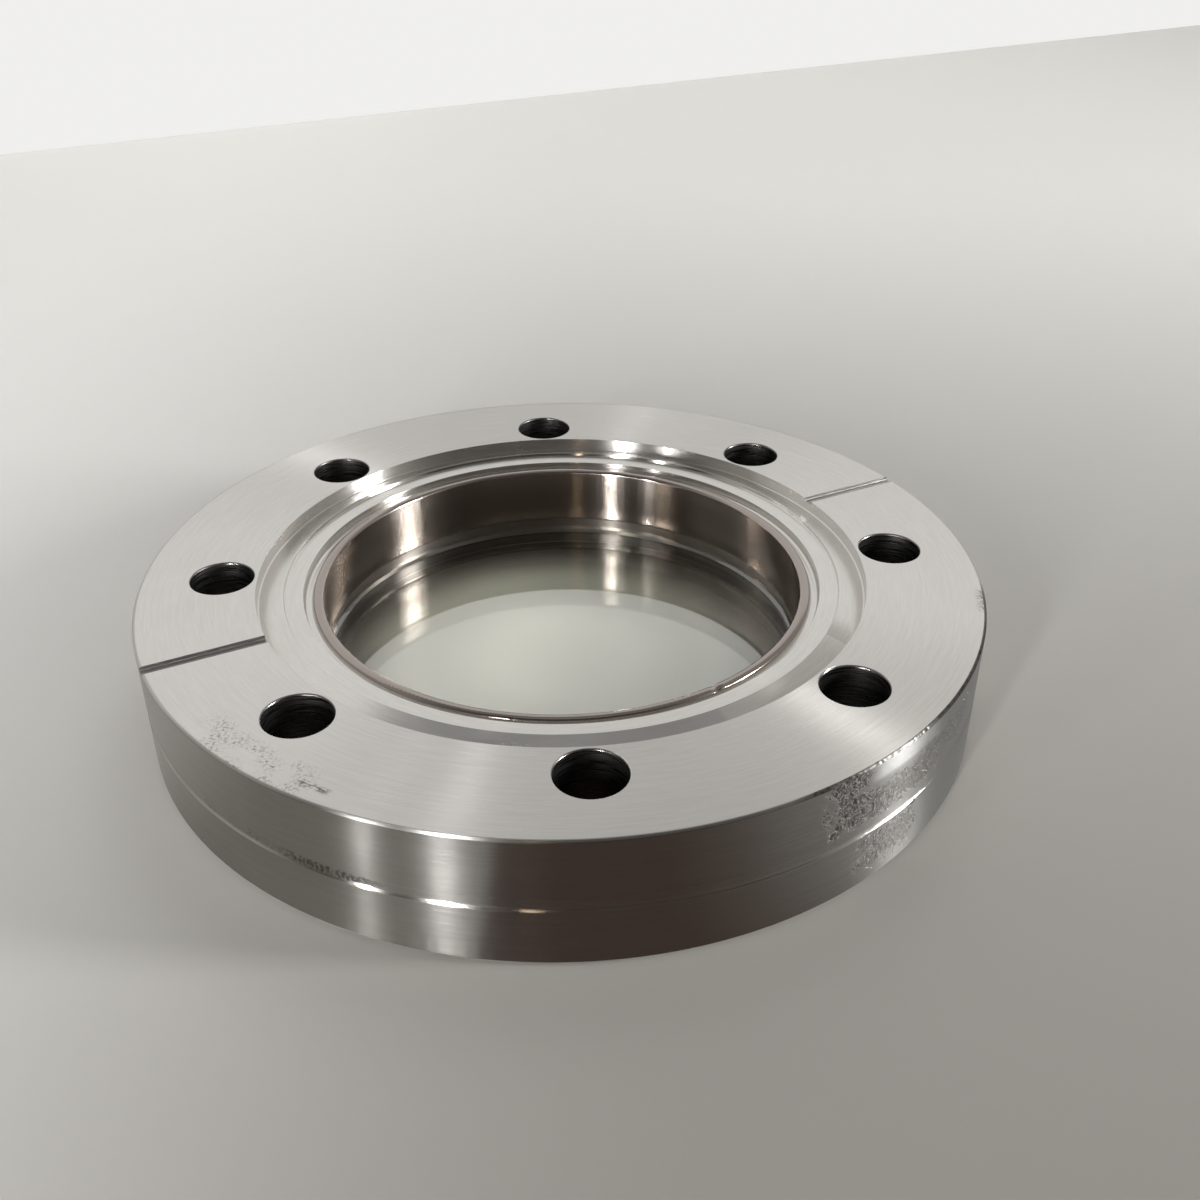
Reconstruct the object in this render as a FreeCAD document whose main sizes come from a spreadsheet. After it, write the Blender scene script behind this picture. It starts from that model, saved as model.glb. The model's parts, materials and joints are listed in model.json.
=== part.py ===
"""Zero-length vacuum viewport with a knife-edge flange, size DN63, in millimetres.

The viewport lies on its back face. The origin is the centre of that face, and +Z points
up, towards the knife-edge face that is bolted to a vacuum chamber. The two leak-check
grooves lie along +X and -X, midway between bolt holes. Sizes called depth_down are
measured down from the knife-edge face, and those called back_recess up from the back.
"""

import FreeCAD, Part
import os

import Sketcher

# Sizes in millimetres and degrees, which can each be set by itself
SIZES = [
    # Flange blank, turned from bar
    ("flange_diameter", 113.5),
    ("flange_thickness", 17.5),
    ("front_edge_break", 0.2),
    ("back_edge_chamfer", 0.4),
    # Shallow groove round the rim
    ("rim_groove_depth_down", 8.9),
    ("rim_groove_width", 1.9),
    ("rim_groove_depth", 0.2),
    # Bolt holes
    ("bolt_circle_diameter", 92.1),
    ("bolt_count", 8),
    ("bolt_hole_diameter", 8.4),
    ("bolt_hole_chamfer", 0.15),
    # Leak-check grooves, from the gasket recess out to the rim
    ("leak_groove_count", 2),
    ("leak_groove_width", 1.7),
    ("leak_groove_depth", 0.55),
    # Gasket recess, knife edge and the flat land inside it
    ("recess_diameter", 82.6),
    ("knife_diameter", 75.6),
    ("knife_depth_down", 0.88),
    ("knife_slope_deg", 17.5),
    ("knife_inner_lean", 0.15),
    ("land_depth_down", 1.35),
    ("land_width", 2.45),
    # Weld-relief groove and the thin lip that it leaves
    ("relief_width", 1.2),
    ("relief_depth_down", 2.7),
    ("lip_wall", 0.55),
    ("lip_depth_down", 2.15),
    ("lip_length", 3.45),
    # Edge weld on top of the lip and the sleeve, with bevelled corners for its roundness
    ("bead_height", 0.5),
    ("bead_overhang", 0.35),
    ("bead_flank_height", 0.3),
    ("bead_flank_lean", 0.16),
    ("bead_crown_width", 0.5),
    # Sleeve, with a low shoulder on its inner wall and a thinner seat for the glass below
    ("sleeve_wall", 0.5),
    ("sleeve_fit_clearance", 0.05),
    ("sleeve_gap", 1.0),
    ("sleeve_back_recess", 0.5),
    ("shoulder_top_down", 8.4),
    ("shoulder_bend_down", 9.2),
    ("shoulder_bend_rise", 0.07),
    ("shoulder_crest_down", 10.0),
    ("shoulder_crest_rise", 0.25),
    ("seat_depth_down", 11.8),
    ("seat_wall", 0.25),
    # Window, with a meniscus where the glass wets the sleeve
    ("window_back_recess", 0.9),
    ("window_thickness", 3.8),
    ("meniscus_width", 0.9),
    ("meniscus_rise", 0.5),
]

doc = FreeCAD.newDocument("viewport")
sheet = doc.addObject("Spreadsheet::Sheet", "sizes")
for row, (alias, value) in enumerate(SIZES, start=1):
    sheet.set(f"A{row}", alias)
    sheet.set(f"B{row}", str(value))
    sheet.setAlias(f"B{row}", alias)
doc.recompute()


def half(alias):
    """The radius that goes with a diameter of the sheet."""
    return f"sizes.{alias} / 2"


def down(expression):
    """A height above the back face, given as a depth below the knife-edge face."""
    return f"(sizes.flange_thickness - ({expression}))"


# Radii from the rim inwards, and heights, that several features or pieces share
RIM = half("flange_diameter")
LAND_OUTSIDE = f"({half('knife_diameter')} - sizes.knife_inner_lean)"
RELIEF_OUTSIDE = f"({LAND_OUTSIDE} - sizes.land_width)"
LIP_OUTSIDE = f"({RELIEF_OUTSIDE} - sizes.relief_width)"
LIP_BORE = f"({LIP_OUTSIDE} - sizes.lip_wall)"
SLEEVE_OUTSIDE = f"({LIP_BORE} - sizes.sleeve_fit_clearance)"
SLEEVE_BORE = f"({SLEEVE_OUTSIDE} - sizes.sleeve_wall)"
SEAT_BORE = f"({SLEEVE_OUTSIDE} - sizes.seat_wall)"
BACK_BORE = f"({SLEEVE_OUTSIDE} + sizes.sleeve_gap)"
FRONT = "sizes.flange_thickness"
WELD_LEVEL = down("sizes.lip_depth_down")
WINDOW_BACK = "sizes.window_back_recess"
WINDOW_FRONT = f"({WINDOW_BACK} + sizes.window_thickness)"


def origin_item(body, role):
    """A plane or an axis of the body's own origin."""
    return next(item for item in body.Origin.OriginFeatures if item.Role == role)


def new_body(label):
    body = doc.addObject("PartDesign::Body", label)
    body.Label = label
    body.Placement = FreeCAD.Placement()
    return body


def new_sketch(body, name, plane):
    sketch = body.newObject("Sketcher::SketchObject", name)
    sketch.AttachmentSupport = [(origin_item(body, plane), "")]
    sketch.MapMode = "FlatFace"
    return sketch


def hold(sketch, kind, elements, name, expression):
    """Adds one named dimension to a sketch and binds it to an expression of the sheet."""
    value = float(sketch.evalExpression(expression))
    index = sketch.addConstraint(Sketcher.Constraint(kind, *elements, value))
    sketch.renameConstraint(index, name)
    sketch.setExpression(f"Constraints.{name}", expression)


def hold_point(sketch, item, end, name, across, up):
    """Holds one point of a sketch at its distances from the sketch's origin."""
    hold(sketch, "DistanceX", (-1, 1, item, end), f"{name}_across", across)
    hold(sketch, "DistanceY", (-1, 1, item, end), f"{name}_up", up)


def draw_outline(sketch, corners, arcs=()):
    """Draws a closed outline through corners, each a name and two distance expressions.

    Lines join the corners, except where arcs names the corner that a stretch starts from.
    An arc gives its centre as two expressions, which of the two holds it, and its turn:
    1 for anticlockwise and -1 for clockwise."""
    arcs = dict(arcs)
    places = [
        FreeCAD.Vector(*(float(sketch.evalExpression(side)) for side in (across, up)), 0)
        for name, across, up in corners
    ]
    ends = []
    for index, (name, across, up) in enumerate(corners):
        start = places[index]
        finish = places[(index + 1) % len(corners)]
        if name not in arcs:
            sketch.addGeometry(Part.LineSegment(start, finish), False)
            ends.append((1, 2))
            continue
        centre_across, centre_up, held, turn = arcs[name]
        centre = FreeCAD.Vector(
            float(sketch.evalExpression(centre_across)),
            float(sketch.evalExpression(centre_up)),
            0,
        )
        circle = Part.Circle(centre, FreeCAD.Vector(0, 0, 1), (start - centre).Length)
        first, last = (start, finish) if turn > 0 else (finish, start)
        arc = Part.ArcOfCircle(circle, circle.parameter(first), circle.parameter(last))
        sketch.addGeometry(arc, False)
        ends.append((1, 2) if turn > 0 else (2, 1))
    for index in range(len(corners)):
        after = (index + 1) % len(corners)
        joint = Sketcher.Constraint(
            "Coincident", index, ends[index][1], after, ends[after][0]
        )
        sketch.addConstraint(joint)
    for index, (name, across, up) in enumerate(corners):
        hold_point(sketch, index, ends[index][0], name, across, up)
        if name in arcs:
            centre_across, centre_up, held, turn = arcs[name]
            if held == "across":
                hold(sketch, "DistanceX", (-1, 1, index, 3), f"{name}_arc", centre_across)
            else:
                hold(sketch, "DistanceY", (-1, 1, index, 3), f"{name}_arc", centre_up)


def revolve(body, sketch, name):
    """Turns a section, drawn on the XZ plane, once round the body's Z axis."""
    feature = body.newObject("PartDesign::Revolution", name)
    feature.Profile = sketch
    feature.ReferenceAxis = (origin_item(body, "Z_Axis"), [""])
    feature.Angle = 360
    body.Tip = feature
    doc.recompute()
    return feature


def pattern(body, feature, name, count):
    """Repeats a cut round the body's Z axis."""
    copies = body.newObject("PartDesign::PolarPattern", name)
    copies.Originals = [feature]
    copies.Axis = (origin_item(body, "Z_Axis"), [""])
    copies.Angle = 360
    copies.setExpression("Occurrences", count)
    body.Tip = copies
    doc.recompute()
    return copies


def circular_edges(shape, radius, height):
    """Names of the edges of a shape that lie on circles of a radius at one height."""
    tolerance = 1e-4
    names = []
    for index, edge in enumerate(shape.Edges, start=1):
        if edge.Curve.TypeId != "Part::GeomCircle":
            continue
        same_radius = abs(edge.Curve.Radius - radius) < tolerance
        if same_radius and abs(edge.Curve.Center.z - height) < tolerance:
            names.append(f"Edge{index}")
    return names


def make_flange():
    """The flange: a turned blank with its recess, knife edge, land, weld-relief groove and
    lip in one section, then the grooves and holes that are cut across it."""
    body = new_body("flange")
    section = new_sketch(body, "turned_section", "XZ_Plane")
    groove_middle = down("sizes.rim_groove_depth_down")
    groove_radius = (
        "((sizes.rim_groove_width / 2)^2 + sizes.rim_groove_depth^2)"
        " / (2 * sizes.rim_groove_depth)"
    )
    recess_corner = down(
        "sizes.knife_depth_down + (sizes.recess_diameter - sizes.knife_diameter) / 2"
        " * tan(sizes.knife_slope_deg * 1deg)"
    )
    lip_foot = down("sizes.lip_depth_down + sizes.lip_length")
    draw_outline(
        section,
        [
            ("back_bore", BACK_BORE, "0"),
            ("back_chamfer_in", f"{RIM} - sizes.back_edge_chamfer", "0"),
            ("back_chamfer_out", RIM, "sizes.back_edge_chamfer"),
            ("groove_foot", RIM, f"{groove_middle} - sizes.rim_groove_width / 2"),
            ("groove_top", RIM, f"{groove_middle} + sizes.rim_groove_width / 2"),
            ("front_break_out", RIM, f"{FRONT} - sizes.front_edge_break"),
            ("front_break_in", f"{RIM} - sizes.front_edge_break", FRONT),
            ("recess_edge", half("recess_diameter"), FRONT),
            ("recess_corner", half("recess_diameter"), recess_corner),
            ("knife_tip", half("knife_diameter"), down("sizes.knife_depth_down")),
            ("land_out", LAND_OUTSIDE, down("sizes.land_depth_down")),
            ("land_in", RELIEF_OUTSIDE, down("sizes.land_depth_down")),
            ("relief_out", RELIEF_OUTSIDE, down("sizes.relief_depth_down")),
            ("relief_in", LIP_OUTSIDE, down("sizes.relief_depth_down")),
            ("lip_out", LIP_OUTSIDE, WELD_LEVEL),
            ("lip_in", LIP_BORE, WELD_LEVEL),
            ("lip_foot", LIP_BORE, lip_foot),
            ("bore_top", BACK_BORE, lip_foot),
        ],
        {
            "groove_foot": (
                f"{RIM} - sizes.rim_groove_depth + {groove_radius}",
                groove_middle,
                "across",
                -1,
            )
        },
    )
    revolve(body, section, "turned_blank")

    leak_sketch = new_sketch(body, "leak_groove_outline", "XY_Plane")
    leak_sketch.setExpression("AttachmentOffset.Base.z", FRONT)
    leak_start = "(sizes.knife_diameter + sizes.recess_diameter) / 4"
    leak_end = f"{RIM} + sizes.leak_groove_width"
    leak_side = "sizes.leak_groove_width / 2"
    draw_outline(
        leak_sketch,
        [
            ("start_near", leak_start, f"-{leak_side}"),
            ("end_near", leak_end, f"-{leak_side}"),
            ("end_far", leak_end, leak_side),
            ("start_far", leak_start, leak_side),
        ],
    )
    leak = body.newObject("PartDesign::Pocket", "leak_groove")
    leak.Profile = leak_sketch
    leak.setExpression("Length", "sizes.leak_groove_depth")
    body.Tip = leak
    doc.recompute()
    pattern(body, leak, "leak_grooves", "sizes.leak_groove_count")

    hole_sketch = new_sketch(body, "bolt_hole_outline", "XY_Plane")
    hole_sketch.setExpression("AttachmentOffset.Base.z", FRONT)
    half_pitch = "180deg / sizes.bolt_count"
    hole_across = f"{half('bolt_circle_diameter')} * cos({half_pitch})"
    hole_up = f"{half('bolt_circle_diameter')} * sin({half_pitch})"
    hole_centre = FreeCAD.Vector(
        float(hole_sketch.evalExpression(hole_across)),
        float(hole_sketch.evalExpression(hole_up)),
        0,
    )
    hole_radius = float(hole_sketch.evalExpression(half("bolt_hole_diameter")))
    hole_sketch.addGeometry(
        Part.Circle(hole_centre, FreeCAD.Vector(0, 0, 1), hole_radius), False
    )
    hold(hole_sketch, "Diameter", (0,), "hole_diameter", "sizes.bolt_hole_diameter")
    hold_point(hole_sketch, 0, 3, "hole_centre", hole_across, hole_up)
    hole = body.newObject("PartDesign::Pocket", "bolt_hole")
    hole.Profile = hole_sketch
    hole.Type = "ThroughAll"
    body.Tip = hole
    doc.recompute()
    holes = pattern(body, hole, "bolt_holes", "sizes.bolt_count")

    mouths = body.newObject("PartDesign::Chamfer", "bolt_hole_chamfers")
    mouths.Base = (
        holes,
        circular_edges(holes.Shape, hole_radius, float(sheet.get("flange_thickness"))),
    )
    mouths.setExpression("Size", "sizes.bolt_hole_chamfer")
    body.Tip = mouths
    doc.recompute()
    return body


def make_weld_bead():
    """The edge weld: a flat seat across the lip and the sleeve, leaning flanks, bevelled
    corners and a narrow crown. It stands proud of the sleeve's inner wall."""
    body = new_body("weld_bead")
    section = new_sketch(body, "bead_section", "XZ_Plane")
    inside = f"({SLEEVE_BORE} - sizes.bead_overhang)"
    middle = f"({inside} + {LIP_OUTSIDE}) / 2"
    crest = f"({WELD_LEVEL} + sizes.bead_height)"
    flank_top = f"({WELD_LEVEL} + sizes.bead_flank_height)"
    draw_outline(
        section,
        [
            ("seat_in", inside, WELD_LEVEL),
            ("seat_out", LIP_OUTSIDE, WELD_LEVEL),
            ("flank_out", f"{LIP_OUTSIDE} - sizes.bead_flank_lean", flank_top),
            ("crown_out", f"{middle} + sizes.bead_crown_width / 2", crest),
            ("crown_in", f"{middle} - sizes.bead_crown_width / 2", crest),
            ("flank_in", f"{inside} + sizes.bead_flank_lean", flank_top),
        ],
    )
    revolve(body, section, "bead")
    return body


def make_sleeve():
    """The sleeve: a thin tube from the weld down past the window. A low shoulder swells in
    from its inner wall, and below it the wall thins into the seat that holds the glass."""
    body = new_body("sleeve")
    section = new_sketch(body, "sleeve_section", "XZ_Plane")
    bend = f"{SLEEVE_BORE} - sizes.shoulder_bend_rise"
    crest = f"{SLEEVE_BORE} - sizes.shoulder_crest_rise"
    draw_outline(
        section,
        [
            ("back_in", SEAT_BORE, "sizes.sleeve_back_recess"),
            ("back_out", SLEEVE_OUTSIDE, "sizes.sleeve_back_recess"),
            ("weld_out", SLEEVE_OUTSIDE, WELD_LEVEL),
            ("weld_in", SLEEVE_BORE, WELD_LEVEL),
            ("shoulder_top", SLEEVE_BORE, down("sizes.shoulder_top_down")),
            ("shoulder_bend", bend, down("sizes.shoulder_bend_down")),
            ("shoulder_crest", crest, down("sizes.shoulder_crest_down")),
            ("seat_in", SEAT_BORE, down("sizes.seat_depth_down")),
        ],
    )
    revolve(body, section, "tube")
    return body


def make_window():
    """The window: a flat glass disc that fills the sleeve's seat. The glass wets the wall,
    so the rim of its upper face slopes up to it in a meniscus."""
    body = new_body("window")
    section = new_sketch(body, "window_section", "XZ_Plane")
    draw_outline(
        section,
        [
            ("back_middle", "0", WINDOW_BACK),
            ("back_rim", SEAT_BORE, WINDOW_BACK),
            ("meniscus_top", SEAT_BORE, f"{WINDOW_FRONT} + sizes.meniscus_rise"),
            ("meniscus_foot", f"{SEAT_BORE} - sizes.meniscus_width", WINDOW_FRONT),
            ("front_middle", "0", WINDOW_FRONT),
        ],
    )
    revolve(body, section, "disc")
    return body


def check(bodies):
    """Stops if any object failed, or if a piece isn't one valid solid."""
    for item in doc.Objects:
        if "Invalid" in item.State or "Error" in item.State:
            raise RuntimeError(f"{item.Label} failed: {item.State}")
    for body in bodies:
        shape = body.Shape
        if shape.isNull() or not shape.isValid() or len(shape.Solids) != 1:
            raise RuntimeError(f"{body.Label} isn't one valid solid")


def main():
    bodies = [make_flange(), make_weld_bead(), make_sleeve(), make_window()]
    doc.recompute()
    check(bodies)
    os.makedirs("parts", exist_ok=True)
    for body in bodies:
        body.Shape.exportStep(f"parts/{body.Label}.step")
        box = body.Shape.optimalBoundingBox()
        print(f"{body.Label}: volume {body.Shape.Volume:.1f}", end=", ")
        print(f"x {box.XMin:.2f} to {box.XMax:.2f}, z {box.ZMin:.2f} to {box.ZMax:.2f}")


main()
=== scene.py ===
"""The looks of a zero-length vacuum viewport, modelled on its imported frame.

The viewport lies on its back face, with the knife-edge face up. Lengths are in
millimetres until a mesh is made. Bearings go round the Z axis, from +X towards +Y, and
are in degrees unless a name or a docstring says radians.
"""

import json
import math

import bmesh
import bpy
from mathutils import Matrix, Vector, noise


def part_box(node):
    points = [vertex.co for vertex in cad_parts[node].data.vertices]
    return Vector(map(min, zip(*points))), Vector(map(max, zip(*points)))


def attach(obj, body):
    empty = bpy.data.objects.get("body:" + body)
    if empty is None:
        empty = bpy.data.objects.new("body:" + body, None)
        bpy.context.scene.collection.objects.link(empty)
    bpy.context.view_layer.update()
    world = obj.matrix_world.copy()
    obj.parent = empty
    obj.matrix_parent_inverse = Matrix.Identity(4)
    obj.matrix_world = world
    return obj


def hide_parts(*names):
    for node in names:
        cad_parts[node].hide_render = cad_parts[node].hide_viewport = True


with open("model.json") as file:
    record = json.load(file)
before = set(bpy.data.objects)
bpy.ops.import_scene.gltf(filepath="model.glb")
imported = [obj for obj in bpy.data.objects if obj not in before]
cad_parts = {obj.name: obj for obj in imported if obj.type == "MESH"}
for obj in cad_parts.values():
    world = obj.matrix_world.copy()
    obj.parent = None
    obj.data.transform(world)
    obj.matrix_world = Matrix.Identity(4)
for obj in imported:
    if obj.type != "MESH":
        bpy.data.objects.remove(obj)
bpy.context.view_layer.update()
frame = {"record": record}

MM = 0.001


def node_box(node):
    """Lowest and highest corner of a CAD node, in millimetres."""
    low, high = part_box(node)
    return low / MM, high / MM


# Sizes that the frame gives
flange_high = node_box("flange")[1]
bead_low, bead_high = node_box("weld_bead")
sleeve_low, sleeve_high = node_box("sleeve")
window_low, window_high = node_box("window")
bolts = next(m for m in frame["record"]["mounts"] if m["name"] == "bolt_circle")["dims"]
RIM = flange_high.x
FRONT = flange_high.z
WELD_LEVEL = bead_low.z
BEAD_TOP = bead_high.z
LIP_OUTSIDE = bead_high.x
SLEEVE_OUTSIDE = sleeve_high.x
SLEEVE_FOOT = sleeve_low.z
SEAT_BORE = window_high.x
GLASS_BACK = window_low.z
GLASS_TOP = window_high.z
BOLT_HOLE = bolts["hole_r_mm"]
BOLT_PLACES = [
    Vector((math.cos(bearing), math.sin(bearing), 0)) * (bolts["pcd_mm"] / 2)
    for bearing in (math.tau * (index + 0.5) / bolts["count"] for index in range(bolts["count"]))
]

# Sizes of the flange, as in the CAD source
FRONT_BREAK = 0.2
BACK_CHAMFER = 0.4
RIM_GROOVE_DOWN = 8.9
RIM_GROOVE_WIDTH = 1.9
RIM_GROOVE_DEPTH = 0.2
RECESS = 41.3
KNIFE = 37.8
KNIFE_DOWN = 0.88
KNIFE_SLOPE = 17.5
KNIFE_LEAN = 0.15
LAND_DOWN = 1.35
RELIEF_OUTSIDE = 35.2
RELIEF_DOWN = 2.7
LIP_BORE = 33.45
LIP_FOOT_DOWN = 5.6
BACK_BORE = 34.4
HOLE_BREAK = 0.15
LEAK_WIDTH = 1.7
LEAK_DEPTH = 0.55

# Sizes of the sleeve, bead and window, as in the CAD source
SLEEVE_WALL = 0.5
SLEEVE_BORE = SLEEVE_OUTSIDE - SLEEVE_WALL
SHOULDER_TOP_DOWN = 8.4
SHOULDER_CREST_DOWN = 10.0
SHOULDER_RISE = 0.25
SEAT_DOWN = 11.8
BEAD_OVERHANG = 0.35
BEAD_INSIDE = SLEEVE_BORE - BEAD_OVERHANG
BEAD_MIDDLE = (BEAD_INSIDE + LIP_OUTSIDE) / 2
BEAD_HEIGHT = BEAD_TOP - WELD_LEVEL
WINDOW_THICKNESS = 3.8
MENISCUS_WIDTH = 0.9

# Sizes that only the looks have
GROOVE_LOWER_FLANK = 0.5
GROOVE_UPPER_FLANK = 0.3
LEAK_EDGE_BREAK = 0.06
LEAK_CORNER = 0.2
SWELL_STARTS_EARLY = 0.2
EDGE_ROW_DOWN = 0.2
GLASS_INTO_WALL = 0.02
MENISCUS_CURVE = 2.2

# How far a cutting shape stands out of the flange
HOLE_CUT_OVER = 0.5
LEAK_CUT_OVER = 1.0

# The mouth of a bolt hole, from its wall out: distance from its axis, and depth
HOLE_MOUTH = [
    (BOLT_HOLE, HOLE_BREAK + 0.12),
    (BOLT_HOLE + 0.012, HOLE_BREAK + 0.04),
    (BOLT_HOLE + 0.045, HOLE_BREAK - 0.03),
    (BOLT_HOLE + HOLE_BREAK - 0.02, 0.035),
    (BOLT_HOLE + HOLE_BREAK + 0.06, 0.0),
    (BOLT_HOLE + HOLE_BREAK + 0.06 + HOLE_CUT_OVER, -HOLE_CUT_OVER),
]

# The scuffed stretch of the rim. Fineness is in lumps a millimetre, or a degree
SCUFF_START, SCUFF_END = 272.0, 306.0
SCUFF_FOOT = 2.2
RAGGED_FINENESS = 0.7
RAGGED_TURN = 2.4
PIT_DEPTH = 0.07
PIT_FINENESS = 2.3
PIT_PATCH_FINENESS = 0.9
PIT_PATCH_SHARE = 0.3
PIT_FLOOR = 0.6

# The nicks in the edge above it, which go on past it
NICKS_END = 326.0
NICKS_FADE = 4.0
NICK_DEPTH = 0.05
NICK_FINENESS = 3.3
NICK_THRESHOLD = 0.15
EDGE_HEIGHT = 0.35

# Patches of scuffs: strength, two bearings and their softness, two heights and theirs
SCUFF_PATCHES = [
    (1.0, 273.5, 295.0, 2.5, 9.3, 14.6, 1.2),
    (1.0, 273.5, 280.5, 2.0, 9.5, 18.4, 0.8),
    (1.0, 278.5, 291.5, 3.0, 1.8, 8.0, 1.4),
    (0.5, 288.0, 305.0, 3.0, 9.8, 16.0, 1.5),
]

# Other marks on the flange: bearings, and distances from the axis or heights. A smudge, a
# rub with a painted highlight and a knock come in over their two numbers, and the other marks
# lie between theirs
SMUDGE_BEARING, SMUDGE_OUT = 204.0, (51.0, 53.0)
SMEAR_BEARING, SMEAR_OUT = 214.5, (53.7, 55.1)
STAIN_BEARING, STAIN_UP = 217.0, (7.7, 9.2)
SCRATCH_BEARING, SCRATCH_OUT = 236.0, (39.0, 40.4)
RUB_SHEEN_BEARING, RUB_SHEEN_UP = 287.0, (14.6, 15.4)
# Where the top edge has real nicks and extra painted shade
WORN_SHADED_EDGE_BEARING = 298.0
KNOCK_BEARING, KNOCK_OUT = 322.0, (55.2, 56.3)

# The bead's waves and fine ripples, and the stop where the torch was lifted
WAVE_FINENESS = 9
WAVE_DEPTH = 0.02
WAVE_NARROWING = 0.03
FINE_RIPPLES = 330
FINE_DEPTH = 0.006
TORCH_STOP = 277.0
STOP_LENGTH = 0.5
STOP_DEPTH = 0.14
STOP_NARROWING = 0.15
STOP_HUMP = 0.05
STOP_HUMP_AHEAD = 1.0

# Fineness of the meshes: segments and degrees round the axis, and steps along curves
SEGMENTS = 480
BEAD_SEGMENTS = 1440
HOLE_SEGMENTS = 96
FLANGE_TURN_STEP = 0.75
SCUFF_TURN_STEP = 0.18
SCUFF_ROW_STEP = 0.18
ARC_STEP = 15
GROOVE_STEPS = 24
BEAD_STEPS = 18
SWELL_STEPS = 12
MENISCUS_STEPS = 12

# Shading. The angle from which an edge is sharp is in degrees, the area in square metres
SHARP_ANGLE = 40
LEVEL_NORMAL = 0.99999
LARGE_FACE_WEIGHT = 80
SAME_AREA = 1e-12

# Colours of metal and glass
STEEL = (0.66, 0.645, 0.62)
STEEL_DULL = (0.635, 0.617, 0.59)
STEEL_CLEAR = (0.71, 0.693, 0.662)
# Painted highlight on the rubbed band
STEEL_RUBBED_SHEEN = (0.92, 0.92, 0.91)
# Painted glint of the scratches
STEEL_SCRATCH_GLINT = (0.95, 0.95, 0.94)
STEEL_PITTED = (0.045, 0.04, 0.036)
# Painted shade for the top edge of the rim
STEEL_EDGE_SHADE = (0.10, 0.095, 0.088)
STEEL_NICKED = (0.05, 0.045, 0.04)
DIRT = (0.13, 0.125, 0.12)
# Painted shade: the walls of the bolt holes
DRILLED_SHADED = (0.19, 0.182, 0.178)
MILLED = (0.36, 0.353, 0.34)
# Weld colour: partly heat tint, partly painted shade
WELD_TINT_AND_SHADE = (0.37, 0.325, 0.30)
# Painted shade in the bore: the sleeve is darker than its metal, less so at its top, and paler on
# the seat as a painted highlight
ALLOY_SHADED = (0.285, 0.248, 0.215)
ALLOY_TOP_LESS_SHADED = (0.42, 0.375, 0.335)
ALLOY_SEAT_HIGHLIGHT = (0.35, 0.32, 0.28)
ALLOY_UNDER_GLASS = (0.15, 0.14, 0.125)
GLASS = (0.95, 0.95, 0.90)
GLASS_SHADOW = (0.9, 0.9, 0.87)

# Colours of the stage
# Painted light and shade on the floor: darker towards the front, paler towards the back and the
# left
FLOOR_NEAR_SHADED = (0.205, 0.194, 0.176)
FLOOR_FAR_LIT = (0.60, 0.59, 0.565)
FLOOR_LEFT_LIT = (0.68, 0.67, 0.645)
# Painted on the floor under the bore: a pool of light in the middle, a painted shadow at its edge
UNDER_GLASS_LIGHT_POOL = (0.90, 0.90, 0.82)
UNDER_GLASS_HALF_SHADE = (0.63, 0.63, 0.565)
UNDER_GLASS_SHADOW = (0.012, 0.011, 0.009)
WALL = (0.87, 0.865, 0.85)
SKY = (0.40, 0.405, 0.41)

# Colours that metal and glass mirror from the floor and the room
FLOOR_MIRRORED = (0.34, 0.33, 0.31)
FLOOR_MIRRORED_LEFT = (0.17, 0.16, 0.145)
FLOOR_MIRRORED_RIGHT = (0.22, 0.22, 0.21)
FLOOR_MIRRORED_FRONT = (0.055, 0.040, 0.034)
FLOOR_MIRRORED_UNDER = (0.026, 0.02, 0.016)
ROOM_SIDES = (0.42, 0.41, 0.39)
ROOM_FRONT = (0.03, 0.0225, 0.019)
ROOM_HIGH_FRONT = (0.07, 0.057, 0.052)
ROOM_CEILING = (0.27, 0.27, 0.27)
ROOM_OVERHEAD = (0.48, 0.48, 0.47)

# Level directions, as (x, y)
TO_BACK = (0.47, 0.88)
TO_FRONT = (-0.47, -0.88)
TO_LEFT = (-0.88, 0.47)

# The stage. The backdrop's foot runs through two marks and past them
FLOOR_REACH = 6000
FLOOR_DROP = 0.02
BACKDROP_MARKS = ((-34, 390, 0), (623, 423, 0))
BACKDROP_PAST = (420, 900)
BACKDROP_HEIGHT = 620

# The camera that took the photograph
CAMERA_PLACE = (-68.0, -140.4, 106.0)
CAMERA_PITCH = -31.22
CAMERA_TURN = -27.75
CAMERA_LENS = 39.0
SENSOR = 36.0
CLIP_METRES = (0.005, 50)


# Outlines, which are lists of (across, up)


def rounded(corners):
    """A closed outline through corners of (across, up, radius), each rounded off."""
    outline = []
    for index, (across, up, radius) in enumerate(corners):
        here = Vector((across, up))
        if radius == 0:
            outline.append(here)
            continue
        before = Vector(corners[index - 1][:2]) - here
        after = Vector(corners[(index + 1) % len(corners)][:2]) - here
        before.normalize()
        after.normalize()
        turn = math.pi - before.angle(after)
        reach = radius * math.tan(turn / 2)
        centre = here + (before + after).normalized() * (radius / math.cos(turn / 2))
        steps = max(1, math.ceil(turn / math.radians(ARC_STEP)))
        first = (here + before * reach - centre).normalized()
        last = (here + after * reach - centre).normalized()
        for step in range(steps + 1):
            outline.append(centre + first.slerp(last, step / steps) * radius)
    return outline


def rows(low, high):
    """Points up the rim from one height to another, close enough to carry its wear."""
    count = round((high - low) / SCUFF_ROW_STEP)
    return [(RIM, low + (high - low) * step / count, 0) for step in range(count + 1)]


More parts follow.
